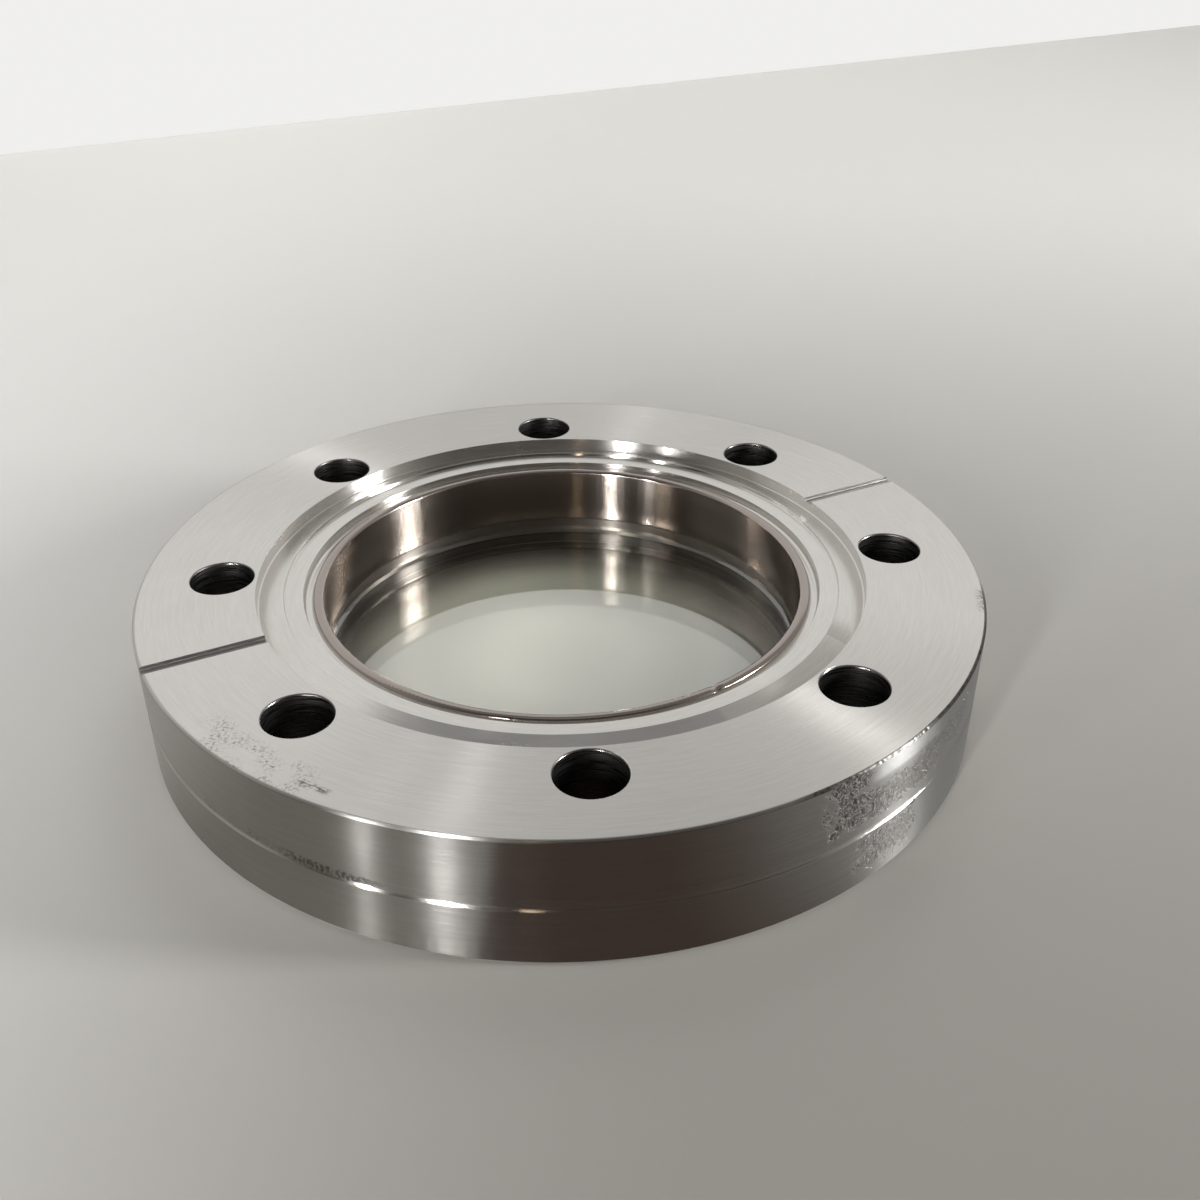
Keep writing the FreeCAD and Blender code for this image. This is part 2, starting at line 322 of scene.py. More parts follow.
def rim_groove(foot, top):
    """Points inside the shallow groove round the rim: a long lower flank, a short upper one."""
    middle, half = (foot + top) / 2, (top - foot) / 2
    points = []
    for step in range(1, GROOVE_STEPS):
        along = 2 * step / GROOVE_STEPS - 1
        if along > 0:
            fall = (1 - along) / GROOVE_UPPER_FLANK
        else:
            fall = (1 + along) / GROOVE_LOWER_FLANK
        depth = RIM_GROOVE_DEPTH * (1 - max(0.0, 1 - fall) ** 1.5)
        points.append((RIM - depth, middle + half * along, 0))
    return points


# Meshes


def even_bearings(count):
    """Bearings all the way round, evenly spaced, in radians."""
    return [math.tau * step / count for step in range(count)]


def add_object(name, shape):
    """Makes an object in metres from a bmesh in millimetres, with its faces turned out."""
    bmesh.ops.recalc_face_normals(shape, faces=shape.faces)
    mesh = bpy.data.meshes.new(name)
    shape.to_mesh(mesh)
    shape.free()
    mesh.transform(Matrix.Scale(MM, 4))
    mesh.update()
    piece = bpy.data.objects.new(name, mesh)
    bpy.context.scene.collection.objects.link(piece)
    return piece


def unchanged(bearing, across, up):
    """Leaves a point of a turned outline where it is."""
    return bearing, across, up


def turned(name, outline, bearings, reshape=unchanged):
    """An object from a closed outline turned round the Z axis, at bearings in radians.

    Points on the axis become one point. reshape moves a point: it takes and gives back
    its bearing, across and up."""
    shape = bmesh.new()
    rings = []
    for across, up in outline:
        if across == 0:
            rings.append([shape.verts.new((0, 0, up))] * len(bearings))
            continue
        ring = []
        for bearing in bearings:
            angle, out, high = reshape(bearing, across, up)
            ring.append(shape.verts.new((out * math.cos(angle), out * math.sin(angle), high)))
        rings.append(ring)
    for index, ring in enumerate(rings):
        above = rings[(index + 1) % len(rings)]
        for step in range(len(bearings)):
            after = (step + 1) % len(bearings)
            loop = [ring[step], ring[after], above[after], above[step]]
            corners = list(dict.fromkeys(loop))
            if len(corners) > 2:
                shape.faces.new(corners)
    return add_object(name, shape)


def shade(piece):
    """Smooth shading that keeps level faces flat beside their small roundings."""
    mesh = piece.data
    mesh.shade_smooth()
    mesh.set_sharp_from_angle(angle=math.radians(SHARP_ANGLE))
    for face in mesh.polygons:
        if abs(face.normal.z) > LEVEL_NORMAL:
            face.use_smooth = False
    weights = piece.modifiers.new("face_weighted_normals", "WEIGHTED_NORMAL")
    weights.keep_sharp = True
    weights.weight = LARGE_FACE_WEIGHT
    weights.thresh = SAME_AREA


def dress(piece, materials, node):
    """Finishes a piece, which replaces its CAD node and rides as that does."""
    piece.data.materials.clear()
    for material in materials:
        piece.data.materials.append(material)
    shade(piece)
    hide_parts(node)
    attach(piece, "root")


# Flange


def flange_outline():
    """The flange's section, from its back face round by the rim, the face and the recess."""
    groove_top = FRONT - RIM_GROOVE_DOWN + RIM_GROOVE_WIDTH / 2
    groove_foot = FRONT - RIM_GROOVE_DOWN - RIM_GROOVE_WIDTH / 2
    recess_corner = FRONT - KNIFE_DOWN - (RECESS - KNIFE) * math.tan(math.radians(KNIFE_SLOPE))
    land = FRONT - LAND_DOWN
    return rounded(
        [
            (BACK_BORE, 0, 0.15),
            (RIM - BACK_CHAMFER, 0, 0.1),
            (RIM, BACK_CHAMFER, 0.1),
            *rows(SCUFF_FOOT, groove_foot),
            *rim_groove(groove_foot, groove_top),
            *rows(groove_top, FRONT - FRONT_BREAK - EDGE_ROW_DOWN),
            (RIM, FRONT - FRONT_BREAK, 0.08),
            (RIM - FRONT_BREAK, FRONT, 0.08),
            (RECESS, FRONT, 0.12),
            (RECESS, recess_corner, 0.25),
            (KNIFE, FRONT - KNIFE_DOWN, 0.05),
            (KNIFE - KNIFE_LEAN, land, 0.12),
            (RELIEF_OUTSIDE, land, 0.1),
            (RELIEF_OUTSIDE, FRONT - RELIEF_DOWN, 0.45),
            (LIP_OUTSIDE, FRONT - RELIEF_DOWN, 0.3),
            (LIP_OUTSIDE, WELD_LEVEL, 0),
            (LIP_BORE, WELD_LEVEL, 0),
            (LIP_BORE, FRONT - LIP_FOOT_DOWN, 0.05),
            (BACK_BORE, FRONT - LIP_FOOT_DOWN, 0.1),
        ]
    )


def flange_bearings():
    """Bearings in radians, closer together at the scuffed stretch of the rim."""
    bearings = []
    angle = 0.0
    while angle < 360 - 1e-6:
        bearings.append(math.radians(angle))
        angle += SCUFF_TURN_STEP if SCUFF_START <= angle < SCUFF_END else FLANGE_TURN_STEP
    return bearings


def inside(value, first, last, soft):
    """1 between two values and 0 outside them, with soft edges."""
    return max(0.0, min(1.0, (value - first) / soft, (last - value) / soft))


def scuffed(degrees, up):
    """How pitted the rim is at a bearing and a height, from 0 to 1, in ragged patches."""
    if not SCUFF_START < degrees < SCUFF_END:
        return 0.0
    ragged = noise.noise((degrees * RAGGED_FINENESS, up * RAGGED_FINENESS, 8.1))
    turn, high = degrees + RAGGED_TURN * ragged, up + ragged
    return max(
        strength * inside(turn, first, last, soft) * inside(high, low, top, high_soft)
        for strength, first, last, soft, low, top, high_soft in SCUFF_PATCHES
    )


def wear_rim(bearing, across, up):
    """Pits in the scuffed stretch of the rim, and nicks in the edge above it."""
    degrees = math.degrees(bearing)
    on_face = up > FRONT - 0.01
    if on_face or across < RIM - 0.6 or not SCUFF_START < degrees < NICKS_END:
        return bearing, across, up
    if up > FRONT - EDGE_HEIGHT:
        near = inside(degrees, SCUFF_START, NICKS_END, NICKS_FADE)
        rough = noise.noise((degrees * NICK_FINENESS, 0.4, 3.7))
        bite = near * max(0.0, rough - NICK_THRESHOLD)
        return bearing, across - NICK_DEPTH * bite, up - NICK_DEPTH * bite
    spot = Vector((RIM * math.cos(bearing), RIM * math.sin(bearing), up))
    pits = noise.noise(spot * PIT_FINENESS)
    pits += PIT_PATCH_SHARE * noise.noise(spot * PIT_PATCH_FINENESS)
    depth = PIT_DEPTH * scuffed(degrees, up) ** 2 * min(PIT_FLOOR, max(0.0, pits))
    return bearing, across - depth, up


def join_rings(shape, rings):
    """Adds faces between rings of points, and closes both ends."""
    count = len(rings[0])
    for below, above in zip(rings, rings[1:]):
        for step in range(count):
            after = (step + 1) % count
            shape.faces.new([below[step], below[after], above[after], above[step]])
    shape.faces.new(list(reversed(rings[0])))
    shape.faces.new(rings[-1])


def hole_cutter(shape, centre):
    """Adds one bolt hole, with both mouths broken, to the mesh that is cut away."""
    back = list(reversed(HOLE_MOUTH))
    front = [(radius, FRONT - depth) for radius, depth in HOLE_MOUTH]
    rings = []
    for radius, up in back + front:
        ring = []
        for angle in even_bearings(HOLE_SEGMENTS):
            corner = Vector((math.cos(angle) * radius, math.sin(angle) * radius, up))
            ring.append(shape.verts.new(centre + corner))
        rings.append(ring)
    join_rings(shape, rings)


def leak_cutter(shape, side):
    """Adds one leak-check groove to the mesh that is cut away. side is 1 or -1."""
    half = LEAK_WIDTH / 2
    edge = half + LEAK_EDGE_BREAK
    floor = FRONT - LEAK_DEPTH
    section = rounded(
        [
            (-edge - LEAK_CUT_OVER, FRONT + LEAK_CUT_OVER, 0),
            (-edge, FRONT, 0),
            (-half, FRONT - LEAK_EDGE_BREAK, 0),
            (-half, floor, LEAK_CORNER),
            (half, floor, LEAK_CORNER),
            (half, FRONT - LEAK_EDGE_BREAK, 0),
            (edge, FRONT, 0),
            (edge + LEAK_CUT_OVER, FRONT + LEAK_CUT_OVER, 0),
        ]
    )
    rings = []
    for end in ((KNIFE + RECESS) / 2, RIM + 2):
        rings.append([shape.verts.new((side * end, across, up)) for across, up in section])
    join_rings(shape, rings)


def cutters():
    """One object with the bolt holes and the leak-check grooves, to be cut away."""
    shape = bmesh.new()
    for centre in BOLT_PLACES:
        hole_cutter(shape, centre)
    for side in (1, -1):
        leak_cutter(shape, side)
    return add_object("cutters", shape)


def cut(piece, tool):
    """Cuts one mesh out of another, for good, and deletes the tool."""
    boolean = piece.modifiers.new("cut", "BOOLEAN")
    boolean.operation = "DIFFERENCE"
    boolean.solver = "EXACT"
    boolean.object = tool
    depsgraph = bpy.context.evaluated_depsgraph_get()
    result = bpy.data.meshes.new_from_object(piece.evaluated_get(depsgraph))
    piece.modifiers.clear()
    piece.data = result
    bpy.data.objects.remove(tool)


def in_bolt_hole(face):
    """Whether a face is in the wall or the broken mouth of a bolt hole."""
    reach = min((face.center.xy - place.xy * MM).length for place in BOLT_PLACES)
    return reach < (BOLT_HOLE + 0.3) * MM and abs(face.normal.z) < 0.9


def in_leak_groove(face):
    """Whether a face is in the floor, a side or a broken edge of a leak-check groove."""
    place = face.center / MM
    across = abs(place.y) < LEAK_WIDTH / 2 + 0.1 and place.xy.length > RECESS
    down = FRONT - LEAK_DEPTH - 0.01 < place.z < FRONT - 0.005
    return across and down and abs(face.normal.x) < 0.5


def make_flange():
    """The flange, turned, drilled and grooved, with the wear of its rim."""
    piece = turned("flange_turned", flange_outline(), flange_bearings(), wear_rim)
    cut(piece, cutters())
    materials = (turned_steel(), shaded_drilled_steel(), milled_steel())
    dress(piece, materials, "flange")
    for face in piece.data.polygons:
        if in_bolt_hole(face):
            face.material_index = 1
        elif in_leak_groove(face):
            face.material_index = 2
    scuff = piece.data.attributes.new("scuff", "FLOAT", "POINT")
    for vertex in piece.data.vertices:
        place = vertex.co / MM
        if place.xy.length > RIM - 0.4 and place.z < FRONT - 0.1:
            degrees = math.degrees(math.atan2(place.y, place.x)) % 360
            scuff.data[vertex.index].value = scuffed(degrees, place.z)


# Weld bead, sleeve and window


def ripple(bearing, across, up):
    """A slight ripple in the bead, and the stop where the torch was lifted."""
    lift = (up - WELD_LEVEL) / BEAD_HEIGHT
    round_x, round_y = math.cos(bearing), math.sin(bearing)
    wave = noise.noise((round_x * WAVE_FINENESS, round_y * WAVE_FINENESS, 1.3))
    fine = math.sin(bearing * FINE_RIPPLES + 2 * wave)
    away = (bearing - math.radians(TORCH_STOP)) * BEAD_MIDDLE
    dip = STOP_DEPTH * math.exp(-((away / STOP_LENGTH) ** 2))
    dip -= STOP_HUMP * math.exp(-(((away - STOP_HUMP_AHEAD) / STOP_LENGTH) ** 2))
    high = up - lift * (WAVE_DEPTH * (1 + wave) + FINE_DEPTH * fine + dip)
    narrow = 1 - WAVE_NARROWING * abs(wave) - STOP_NARROWING * dip
    return bearing, BEAD_MIDDLE + (across - BEAD_MIDDLE) * narrow, high


def make_bead():
    """The fused edge weld on top of the lip and the sleeve."""
    half = LIP_OUTSIDE - BEAD_MIDDLE
    outline = [(BEAD_INSIDE, WELD_LEVEL), (LIP_OUTSIDE, WELD_LEVEL)]
    for step in range(1, BEAD_STEPS):
        angle = math.pi * step / BEAD_STEPS
        across = BEAD_MIDDLE + half * math.cos(angle)
        outline.append((across, WELD_LEVEL + BEAD_HEIGHT * math.sin(angle)))
    piece = turned("weld_bead_fused", outline, even_bearings(BEAD_SEGMENTS), ripple)
    dress(piece, [fused_weld()], "weld_bead")


def make_sleeve():
    """A thin tube with a low shoulder, which swells in and is undercut down to the seat."""
    top = FRONT - SHOULDER_TOP_DOWN + SWELL_STARTS_EARLY
    crest = FRONT - SHOULDER_CREST_DOWN
    swell = []
    for step in range(SWELL_STEPS):
        along = step / SWELL_STEPS
        swell.append((SLEEVE_BORE - SHOULDER_RISE * along**2, top + (crest - top) * along, 0))
    outline = rounded(
        [
            (SEAT_BORE, SLEEVE_FOOT, 0.05),
            (SLEEVE_OUTSIDE, SLEEVE_FOOT, 0.05),
            (SLEEVE_OUTSIDE, WELD_LEVEL, 0),
            (SLEEVE_BORE, WELD_LEVEL, 0),
            *swell,
            (SLEEVE_BORE - SHOULDER_RISE, crest, 0.5),
            (SEAT_BORE, FRONT - SEAT_DOWN, 1.2),
        ]
    )
    piece = turned("sleeve_tube", outline, even_bearings(SEGMENTS))
    dress(piece, [sleeve_alloy()], "sleeve")


def make_window():
    """A glass disc, with a meniscus where it meets the wall of the sleeve."""
    front = GLASS_BACK + WINDOW_THICKNESS
    wall = SEAT_BORE + GLASS_INTO_WALL
    foot = SEAT_BORE - MENISCUS_WIDTH
    rise = GLASS_TOP - front
    outline = [(0, GLASS_BACK), (wall, GLASS_BACK)]
    for step in range(MENISCUS_STEPS + 1):
        along = 1 - step / MENISCUS_STEPS
        outline.append((foot + (wall - foot) * along, front + rise * along**MENISCUS_CURVE))
    outline.append((0, front))
    piece = turned("window_disc", outline, even_bearings(SEGMENTS))
    dress(piece, [clear_glass()], "window")


# Shader nodes


class Graph:
    """The nodes of one material or world. A method that makes a node gives back its output."""

    def __init__(self, owner):
        owner.use_nodes = True
        self.tree = owner.node_tree
        self.tree.nodes.clear()

    def node(self, kind, inputs=(), output=0, **settings):
        made = self.tree.nodes.new(kind)
        for name, value in settings.items():
            setattr(made, name, value)
        self.feed(made, inputs)
        return made.outputs[output]

    def feed(self, made, inputs):
        """Links or sets a node's inputs. A colour is given as three numbers."""
        for key, value in dict(inputs).items():
            socket = made.inputs[key]
            if isinstance(value, bpy.types.NodeSocket):
                self.tree.links.new(value, socket)
            elif socket.type == "RGBA":
                socket.default_value = (*value, 1)
            else:
                socket.default_value = value

    def maths(self, operation, *values, clamp=False):
        inputs = dict(enumerate(values))
        return self.node("ShaderNodeMath", inputs, operation=operation, use_clamp=clamp)

    def plus(self, *values):
        result = values[0]
        for value in values[1:]:
            result = self.maths("ADD", result, value)
        return result

    def times(self, *values):
        result = values[0]
        for value in values[1:]:
            result = self.maths("MULTIPLY", result, value)
        return result

    def band(self, value, start, end, low=0.0, high=1.0):
        """A smooth step from low to high as value goes from start to end."""
        inputs = {"Value": value, 1: start, 2: end, 3: low, 4: high}
        return self.node("ShaderNodeMapRange", inputs, interpolation_type="SMOOTHSTEP")

    def strip(self, value, first, last, soft):
        """1 between two values and 0 outside them, with soft edges inside them."""
        rise = self.band(value, first, first + soft)
        return self.times(rise, self.band(value, last, last - soft))

    def mix(self, factor, first, second):
        inputs = {0: factor, 6: first, 7: second}
        return self.node("ShaderNodeMix", inputs, output=2, data_type="RGBA")

    def vector(self, x, y, z):
        return self.node("ShaderNodeCombineXYZ", {0: x, 1: y, 2: z})

    def noise(self, vector, scale, detail=2.0, rough=0.5, w=None):
        """Noise in 3-D, or in 4-D where w is given."""
        inputs = {"Vector": vector, "Scale": scale, "Detail": detail, "Roughness": rough}
        if w is None:
            return self.node("ShaderNodeTexNoise", inputs, noise_dimensions="3D")
        inputs["W"] = w
        return self.node("ShaderNodeTexNoise", inputs, noise_dimensions="4D")

    def bump(self, height, strength, metres, **other):
        inputs = {"Height": height, "Strength": strength, "Distance": metres, **other}
        return self.node("ShaderNodeBump", inputs)

    def show(self, shader, kind="ShaderNodeOutputMaterial"):
        """Wires a shader to the output of the material or world."""
        output = self.tree.nodes.new(kind)
        self.tree.links.new(shader, output.inputs[0])


class Spot:
    """A point or a direction, with its bearing round the Z axis, as outputs of a graph."""

    def __init__(self, graph, vector):
        self.graph = graph
        self.point = vector
        parts = graph.tree.nodes.new("ShaderNodeSeparateXYZ")
        graph.tree.links.new(vector, parts.inputs[0])
        self.x, self.y, self.z = parts.outputs
        squares = graph.plus(graph.times(self.x, self.x), graph.times(self.y, self.y))
        self.radius = graph.maths("SQRT", squares)
        flat = graph.maths("MAXIMUM", self.radius, 1e-6)
        self.cosine = graph.maths("DIVIDE", self.x, flat)
        self.sine = graph.maths("DIVIDE", self.y, flat)

    def toward(self, direction):
        """How far the spot lies in a level direction, given as (x, y)."""
        graph = self.graph
        x, y = direction
        return graph.plus(graph.times(self.x, x), graph.times(self.y, y))

    def near(self, degrees, half_width, soft):
        """1 near a bearing and 0 away from it, with a soft edge."""
        graph = self.graph
        angle = math.radians(degrees)
        aligned = graph.plus(
            graph.times(self.cosine, math.cos(angle)), graph.times(self.sine, math.sin(angle))
        )
        outer = math.cos(math.radians(half_width + soft))
        inner = math.cos(math.radians(half_width))
        return graph.band(aligned, outer, inner)

    def past(self, degrees, soft):
        """0 at a bearing, and 1 from soft degrees past it on, up to half a turn."""
        graph = self.graph
        angle = math.radians(degrees)
        ahead = graph.maths(
            "SUBTRACT",
            graph.times(self.sine, math.cos(angle)),
            graph.times(self.cosine, math.sin(angle)),
        )
        return graph.band(ahead, 0.0, math.sin(math.radians(soft)))

    def between(self, first, first_soft, last, last_soft):
        """1 between two bearings. It comes and goes over the soft degrees after each."""
        graph = self.graph
        gone = graph.maths("SUBTRACT", 1.0, self.past(last, last_soft))
        return graph.times(self.past(first, first_soft), gone)

    def climbing(self, first, last, low=0.0, high=1.0):
        """Goes from low to high as a direction's elevation goes from first to last."""
        start, end = math.sin(math.radians(first)), math.sin(math.radians(last))
        return self.graph.band(self.z, start, end, low, high)

    def turning_lines(self, per_mm, drift, detail=3.0):
        """Noise drawn out round the Z axis, as a lathe tool leaves it."""
        graph = self.graph
        vector = graph.vector(
            graph.times(self.radius, per_mm),
            graph.times(self.cosine, drift),
            graph.times(self.sine, drift),
        )
        return graph.noise(vector, 1.0, detail, 0.6, w=graph.times(self.z, per_mm))


def millimetres(graph):
    """Where a point of a surface lies in its object, in millimetres."""
    metres = graph.node("ShaderNodeTexCoord", output="Object")
    return graph.node("ShaderNodeVectorMath", {0: metres, 3: 1 / MM}, operation="SCALE")


# Materials


def metal(name, colour, roughness, anisotropic):
    """A graph with a metal shader wired to its output, for one material."""
    material = bpy.data.materials.new(name)
    graph = Graph(material)
    shader = graph.tree.nodes.new("ShaderNodeBsdfPrincipled")
    graph.feed(
        shader,
        {
            "Base Color": colour,
            "Metallic": 1.0,
            "Roughness": roughness,
            "Anisotropic": anisotropic,
            "Anisotropic Rotation": 0.25 if anisotropic else 0.0,
        },
    )
    if anisotropic:
        tangent = graph.node("ShaderNodeTangent", direction_type="RADIAL", axis="Z")
        graph.feed(shader, {"Tangent": tangent})
    graph.show(shader.outputs[0])
    return material, graph, shader


def grained_metal(name, colour, fineness, detail, strength, metres, smooth, rough):
    """Metal with one grain, which is drawn out where its fineness in x, y or z is low.

    strength and metres are those of its bump. Its roughness goes from smooth to rough."""
    material, graph, shader = metal(name, colour, (smooth + rough) / 2, 0.0)
    inputs = {0: millimetres(graph), 1: fineness}
    stretched = graph.node("ShaderNodeVectorMath", inputs, operation="MULTIPLY")
    grain = graph.noise(stretched, 1.0, detail)
    roughness = graph.band(grain, 0.3, 0.7, smooth, rough)
    bump = graph.bump(grain, strength, metres)
    graph.feed(shader, {"Roughness": roughness, "Normal": bump})
    return material


def shaded_drilled_steel():
    """The walls of the bolt holes, with a drill's lines round them, painted dark as the shade
    inside the holes.
    """
    return grained_metal(
        "shaded_drilled_steel", DRILLED_SHADED, (0.3, 0.3, 5.0), 4.0, 0.6, 8e-5, smooth=0.22, rough=0.42
    )


def milled_steel():
    """The leak-check grooves, with a cutter's lines along them."""
    return grained_metal(
        "milled_steel", MILLED, (0.5, 7.0, 7.0), 3.0, 0.5, 4e-5, smooth=0.34, rough=0.5
    )


def fused_weld():
    """Weld metal that has flowed and set smooth, with an even grain. Its dark brown is partly
    heat tint and partly painted shade.
    """
    return grained_metal(
        "fused_weld", WELD_TINT_AND_SHADE, (2.2, 2.2, 2.2), 3.0, 0.1, 4e-5, smooth=0.13, rough=0.19
    )


class FlangeSpot(Spot):
    """A spot on the flange, with what several of its marks share."""

    def __init__(self, graph):
        super().__init__(graph, millimetres(graph))
        self.on_rim = graph.band(self.radius, RIM - 0.4, RIM - 0.3)
        self.on_face = graph.band(self.radius, RIM - 0.1, RIM - 0.3)
        self.specks = graph.noise(self.point, 2.4, 3.0, 0.65)
        spread = graph.vector(
            graph.times(self.radius, 5.0), graph.times(self.cosine, 60.0), 0.0
        )
        self.streaks = graph.noise(spread, 1.0, 3.0)


def smudge(graph, spot):
    """Specks of dirt on the face, near its edge."""
    patches = graph.noise(spot.point, 0.3)
    return graph.times(
        spot.near(SMUDGE_BEARING, 7.0, 4.0),
        spot.on_face,
        graph.band(spot.radius, *SMUDGE_OUT),
        graph.band(patches, 0.38, 0.60),
        graph.band(spot.specks, 0.46, 0.66),
    )


def smear(graph, spot):
    """Dark streaks on the face, along its edge."""
    broken = graph.plus(spot.streaks, graph.times(spot.specks, 0.6))
    return graph.times(
        spot.near(SMEAR_BEARING, 1.4, 1.4),
        graph.strip(spot.radius, *SMEAR_OUT, 0.6),
        graph.band(broken, 0.70, 0.92),
    )


def stain(graph, spot):
    """Dirt in the groove round the rim."""
    return graph.times(
        spot.near(STAIN_BEARING, 4.5, 3.0),
        spot.on_rim,
        graph.strip(spot.z, *STAIN_UP, 0.4),
        graph.band(spot.specks, 0.38, 0.60),
    )


def knock(graph, spot):
    """Dark specks at the edge of the face."""
    return graph.times(
        spot.near(KNOCK_BEARING, 1.8, 1.6),
        graph.band(spot.radius, *KNOCK_OUT),
        graph.band(spot.specks, 0.42, 0.60),
    )


def scratches(graph, spot):
    """Scratches round the slope that leads to the knife edge, painted bright as their glint."""
    return graph.times(
        spot.near(SCRATCH_BEARING, 2.5, 1.0),
        graph.strip(spot.radius, *SCRATCH_OUT, 0.2),
        graph.band(spot.streaks, 0.56, 0.62),
    )


def turned_steel():
    """Turned and handled steel: fine lines round the axis, pits, stains and scratches."""
    material, graph, shader = metal("turned_steel", STEEL, 0.25, 1.0)
    spot = FlangeSpot(graph)
    fine = spot.turning_lines(9.0, 3.0)
    broad = spot.turning_lines(3.2, 11.0, 2.0)
    cloud = graph.noise(spot.point, 0.12, 3.0)
    in_recess = graph.band(spot.radius, RECESS, RECESS - 0.2)

    scuff = graph.node("ShaderNodeAttribute", output="Fac", attribute_name="scuff")
    grain = graph.noise(spot.point, 3.6, 3.0, 0.6)
    pitting = graph.plus(grain, graph.times(scuff, 0.16))
    pits = graph.times(graph.band(pitting, 0.61, 0.67), graph.band(scuff, 0.0, 0.3))
    # A rubbed band high on the rim, with a painted highlight: its colour is near white, far paler
    # than steel.
    rubbed_sheen = graph.times(
        spot.near(RUB_SHEEN_BEARING, 5.0, 2.5),
        spot.on_rim,
        graph.band(spot.z, *RUB_SHEEN_UP),
        graph.maths("SUBTRACT", 0.6, scuff, clamp=True),
    )
    # Painted shade on the top edge of the rim: darker all round, as on its chamfer, and darker
    # still over the worn stretch, where it hides glints; the nicks there are real.
    edge = graph.times(spot.on_rim, graph.band(spot.z, FRONT - 0.42, FRONT - 0.27))
    worn_shaded_edge = graph.times(edge, spot.near(WORN_SHADED_EDGE_BEARING, 24.0, 6.0))
    chips = graph.noise(spot.point, 2.2, 3.0)
    nicks = graph.times(worn_shaded_edge, graph.band(chips, 0.46, 0.62, 0.25, 0.9))
    scratch_glints = scratches(graph, spot)
    dirt = 0.0
    for mark, strength in ((smudge, 0.75), (smear, 0.9), (stain, 0.8), (knock, 0.8)):
        share = graph.times(mark(graph, spot), strength)
        dirt = graph.maths("ADD", dirt, share, clamp=True)

    tone = graph.plus(graph.times(broad, 0.4), graph.times(fine, 0.35), graph.times(cloud, 0.25))
    colour = graph.mix(graph.band(tone, 0.3, 0.7), STEEL_DULL, STEEL_CLEAR)
    colour = graph.mix(rubbed_sheen, colour, STEEL_RUBBED_SHEEN)
    colour = graph.mix(graph.times(pits, 0.95), colour, STEEL_PITTED)
    colour = graph.mix(graph.times(edge, 0.3), colour, STEEL_EDGE_SHADE)
    colour = graph.mix(graph.times(worn_shaded_edge, 0.8), colour, STEEL_EDGE_SHADE)
    colour = graph.mix(nicks, colour, STEEL_NICKED)
    colour = graph.mix(dirt, colour, DIRT)
    # The scratches are real; their near-white colour is a painted glint.
    colour = graph.mix(scratch_glints, colour, STEEL_SCRATCH_GLINT)

    rough = graph.plus(
        graph.times(fine, 0.05),
        graph.times(cloud, 0.05),
        0.21,
        graph.times(in_recess, -0.08),
        graph.times(spot.on_rim, -0.07),
        graph.times(edge, 0.16),
        graph.times(pits, 0.2),
        graph.times(rubbed_sheen, 0.05),
        graph.times(scratch_glints, 0.2),
    )

    height = graph.plus(graph.times(fine, 0.6), graph.times(broad, 0.4))
    depth = graph.band(spot.radius, RIM - 0.5, RIM - 0.3, 7e-6, 3e-5)
    lines = graph.bump(height, 1.0, depth)
    pitted = graph.bump(pits, 0.7, -5e-5, Normal=lines)
    graph.feed(shader, {"Base Color": colour, "Roughness": rough, "Normal": pitted})
    return material


def sleeve_alloy():
    """Drawn alloy, painted dark as shade in the bore and less dark towards its top, paler on the
    seat as a painted highlight, rougher below the shoulder, and dark where the glass is fused to
    it."""
    material, graph, shader = metal("sleeve_alloy", ALLOY_SHADED, 0.24, 1.0)
    spot = Spot(graph, millimetres(graph))
    fine = spot.turning_lines(6.0, 1.2)
    bore_top = graph.band(spot.z, 11.5, 15.5)
    seat = graph.band(spot.z, 7.6, 7.0)
    fused = graph.band(spot.z, GLASS_TOP - 0.6, GLASS_TOP - 1.2)
    bare_seat = graph.times(seat, graph.maths("SUBTRACT", 1.0, fused))
    colour = graph.mix(bore_top, ALLOY_SHADED, ALLOY_TOP_LESS_SHADED)
    colour = graph.mix(seat, colour, ALLOY_SEAT_HIGHLIGHT)
    colour = graph.mix(fused, colour, ALLOY_UNDER_GLASS)
    rough = graph.plus(graph.times(fine, 0.06), 0.185, graph.times(bare_seat, 0.09))
    bump = graph.bump(fine, 1.0, 2e-5)
    graph.feed(shader, {"Base Color": colour, "Roughness": rough, "Normal": bump})
    return material


def clear_glass():
    """Polished glass. It lets the lamps through, so that the floor under it is lit."""
    material = bpy.data.materials.new("clear_glass")
    graph = Graph(material)
    glass = graph.node(
        "ShaderNodeBsdfPrincipled",
        {
            "Base Color": GLASS,
            "Roughness": 0.02,
            "IOR": 1.55,
            "Transmission Weight": 1.0,
            "Coat Weight": 1.0,
            "Coat Roughness": 0.04,
            "Coat IOR": 1.9,
        },
    )
    clear = graph.node("ShaderNodeBsdfTransparent", {"Color": GLASS_SHADOW})
    shadow = graph.node("ShaderNodeLightPath", output="Is Shadow Ray")
    graph.show(graph.node("ShaderNodeMixShader", {0: shadow, 1: glass, 2: clear}))
    return material


# Stage


def seen_by_metal(graph):
    """1 for rays that have been mirrored by metal or glass."""
    depth = graph.node("ShaderNodeLightPath", output="Glossy Depth")
    return graph.maths("MINIMUM", depth, 1.0)


